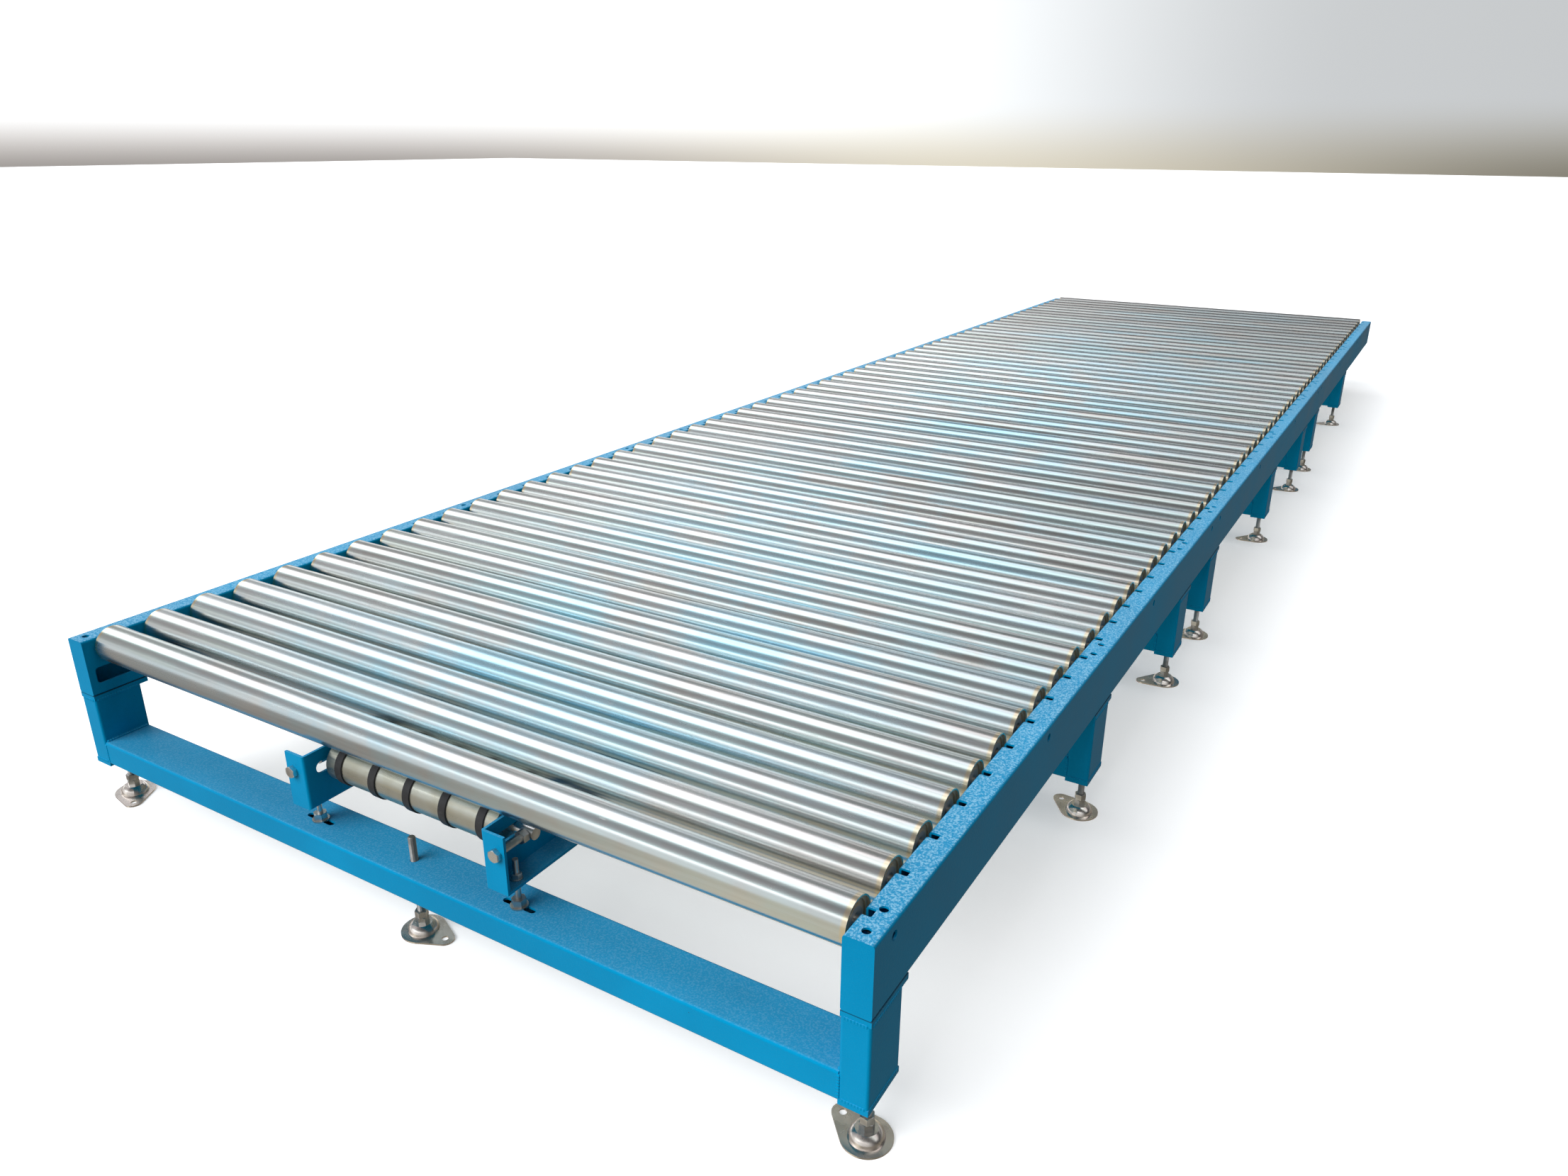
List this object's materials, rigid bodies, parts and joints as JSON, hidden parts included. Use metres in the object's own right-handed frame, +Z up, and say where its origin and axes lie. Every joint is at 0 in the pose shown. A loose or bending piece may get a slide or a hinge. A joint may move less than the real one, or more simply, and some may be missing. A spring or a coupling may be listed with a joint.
{
  "type": "gravity roller conveyor",
  "caption": "Wide gravity roller conveyor: bolted sections of free-running zinc rollers in blue box rails on U-shaped legs with levelling feet, and an adjustable banded idler under one end.",
  "frame": {"origin": "on the floor, at the centre of the conveyor's footprint", "axes": "+X along the conveyor away from the idler end, +Y towards the left rail seen from the idler end, +Z up"},
  "size_m": [7.2202, 2.163, 0.4584],
  "materials": {
    "blue_powder_coat": "satin powder coat with fine orange peel",
    "zinc_roller_tube": "bright zinc plated, streaked along the tube",
    "yellow_zinc_tube": "pale yellow zinc plated",
    "zinc_fastener": "zinc plated",
    "bright_zinc_pad": "bright zinc plated pressed steel",
    "bearing_steel": "pressed steel, dulled",
    "black_rubber": "matt black rubber"
  },
  "bodies": {
    "frame": {"rail_right_1": "blue_powder_coat", "rail_right_2": "blue_powder_coat", "rail_right_3": "blue_powder_coat", "rail_left_1": "blue_powder_coat", "rail_left_2": "blue_powder_coat", "rail_left_3": "blue_powder_coat", "rail_end_plates": "blue_powder_coat", "rail_joint_plates": "blue_powder_coat", "rail_joint_bolts": "zinc_fastener", "rail_joint_nuts": "zinc_fastener", "leg_posts": "blue_powder_coat", "leg_top_plates": "blue_powder_coat", "leg_foot_plates": "blue_powder_coat", "leg_bolts": "zinc_fastener", "leg_bolt_nuts": "zinc_fastener", "front_crossbar": "blue_powder_coat", "crossbars": "blue_powder_coat", "foot_pads": "bright_zinc_pad", "foot_studs": "zinc_fastener", "foot_nuts": "zinc_fastener", "foot_thread_nuts": "zinc_fastener", "roller_axles": "zinc_fastener", "end_roller_axles": "zinc_fastener", "bearing_inner_rings": "bearing_steel", "section_2_rollers": "zinc_roller_tube", "section_3_rollers": "zinc_roller_tube", "idler_bracket_left": "blue_powder_coat", "idler_bracket_right": "blue_powder_coat", "bracket_studs": "zinc_fastener", "bracket_flange_nuts": "zinc_fastener", "bracket_washers": "zinc_fastener", "bracket_nuts": "zinc_fastener", "adjusting_bolts": "zinc_fastener"},
    "idler_carriage": {"idler_axle": "zinc_fastener", "axle_lock_nuts": "zinc_fastener", "idler_inner_rings": "bearing_steel"},
    "idler_roller": {"idler_tube": "yellow_zinc_tube", "idler_bearing_housings": "bearing_steel", "idler_bands": "black_rubber"},
    "roller_01": {"roller_01": "zinc_roller_tube"},
    "roller_02": {"roller_02": "zinc_roller_tube"},
    "roller_03": {"roller_03": "zinc_roller_tube"},
    "roller_04": {"roller_04": "zinc_roller_tube"},
    "roller_05": {"roller_05": "zinc_roller_tube"},
    "roller_06": {"roller_06": "zinc_roller_tube"},
    "roller_07": {"roller_07": "zinc_roller_tube"},
    "roller_08": {"roller_08": "zinc_roller_tube"},
    "roller_09": {"roller_09": "zinc_roller_tube"},
    "roller_10": {"roller_10": "zinc_roller_tube"},
    "roller_11": {"roller_11": "zinc_roller_tube"},
    "roller_12": {"roller_12": "zinc_roller_tube"},
    "roller_13": {"roller_13": "zinc_roller_tube"},
    "roller_14": {"roller_14": "zinc_roller_tube"},
    "roller_15": {"roller_15": "zinc_roller_tube"},
    "roller_16": {"roller_16": "zinc_roller_tube"},
    "roller_17": {"roller_17": "zinc_roller_tube"},
    "roller_18": {"roller_18": "zinc_roller_tube"},
    "roller_19": {"roller_19": "zinc_roller_tube"},
    "roller_20": {"roller_20": "zinc_roller_tube"}
  },
  "joints": [
    {"name": "idler_adjust", "type": "slide", "parent": "frame", "child": "idler_carriage", "axis": [1, 0, 0], "range_m": [-0.04, 0.018]},
    {"name": "idler_spin", "type": "hinge", "parent": "idler_carriage", "child": "idler_roller", "pos_m": [-3.513, 0, 0.316], "axis": [0, 1, 0], "continuous": true},
    {"name": "roller_01_spin", "type": "hinge", "parent": "frame", "child": "roller_01", "pos_m": [-3.54, 0, 0.414], "axis": [0, 1, 0], "continuous": true},
    {"name": "roller_02_spin", "type": "hinge", "parent": "frame", "child": "roller_02", "pos_m": [-3.42, 0, 0.414], "axis": [0, 1, 0], "continuous": true},
    {"name": "roller_03_spin", "type": "hinge", "parent": "frame", "child": "roller_03", "pos_m": [-3.3, 0, 0.414], "axis": [0, 1, 0], "continuous": true},
    {"name": "roller_04_spin", "type": "hinge", "parent": "frame", "child": "roller_04", "pos_m": [-3.18, 0, 0.414], "axis": [0, 1, 0], "continuous": true},
    {"name": "roller_05_spin", "type": "hinge", "parent": "frame", "child": "roller_05", "pos_m": [-3.06, 0, 0.414], "axis": [0, 1, 0], "continuous": true},
    {"name": "roller_06_spin", "type": "hinge", "parent": "frame", "child": "roller_06", "pos_m": [-2.94, 0, 0.414], "axis": [0, 1, 0], "continuous": true},
    {"name": "roller_07_spin", "type": "hinge", "parent": "frame", "child": "roller_07", "pos_m": [-2.82, 0, 0.414], "axis": [0, 1, 0], "continuous": true},
    {"name": "roller_08_spin", "type": "hinge", "parent": "frame", "child": "roller_08", "pos_m": [-2.7, 0, 0.414], "axis": [0, 1, 0], "continuous": true},
    {"name": "roller_09_spin", "type": "hinge", "parent": "frame", "child": "roller_09", "pos_m": [-2.58, 0, 0.414], "axis": [0, 1, 0], "continuous": true},
    {"name": "roller_10_spin", "type": "hinge", "parent": "frame", "child": "roller_10", "pos_m": [-2.46, 0, 0.414], "axis": [0, 1, 0], "continuous": true},
    {"name": "roller_11_spin", "type": "hinge", "parent": "frame", "child": "roller_11", "pos_m": [-2.34, 0, 0.414], "axis": [0, 1, 0], "continuous": true},
    {"name": "roller_12_spin", "type": "hinge", "parent": "frame", "child": "roller_12", "pos_m": [-2.22, 0, 0.414], "axis": [0, 1, 0], "continuous": true},
    {"name": "roller_13_spin", "type": "hinge", "parent": "frame", "child": "roller_13", "pos_m": [-2.1, 0, 0.414], "axis": [0, 1, 0], "continuous": true},
    {"name": "roller_14_spin", "type": "hinge", "parent": "frame", "child": "roller_14", "pos_m": [-1.98, 0, 0.414], "axis": [0, 1, 0], "continuous": true},
    {"name": "roller_15_spin", "type": "hinge", "parent": "frame", "child": "roller_15", "pos_m": [-1.86, 0, 0.414], "axis": [0, 1, 0], "continuous": true},
    {"name": "roller_16_spin", "type": "hinge", "parent": "frame", "child": "roller_16", "pos_m": [-1.74, 0, 0.414], "axis": [0, 1, 0], "continuous": true},
    {"name": "roller_17_spin", "type": "hinge", "parent": "frame", "child": "roller_17", "pos_m": [-1.62, 0, 0.414], "axis": [0, 1, 0], "continuous": true},
    {"name": "roller_18_spin", "type": "hinge", "parent": "frame", "child": "roller_18", "pos_m": [-1.5, 0, 0.414], "axis": [0, 1, 0], "continuous": true},
    {"name": "roller_19_spin", "type": "hinge", "parent": "frame", "child": "roller_19", "pos_m": [-1.38, 0, 0.414], "axis": [0, 1, 0], "continuous": true},
    {"name": "roller_20_spin", "type": "hinge", "parent": "frame", "child": "roller_20", "pos_m": [-1.26, 0, 0.414], "axis": [0, 1, 0], "continuous": true}
  ]
}
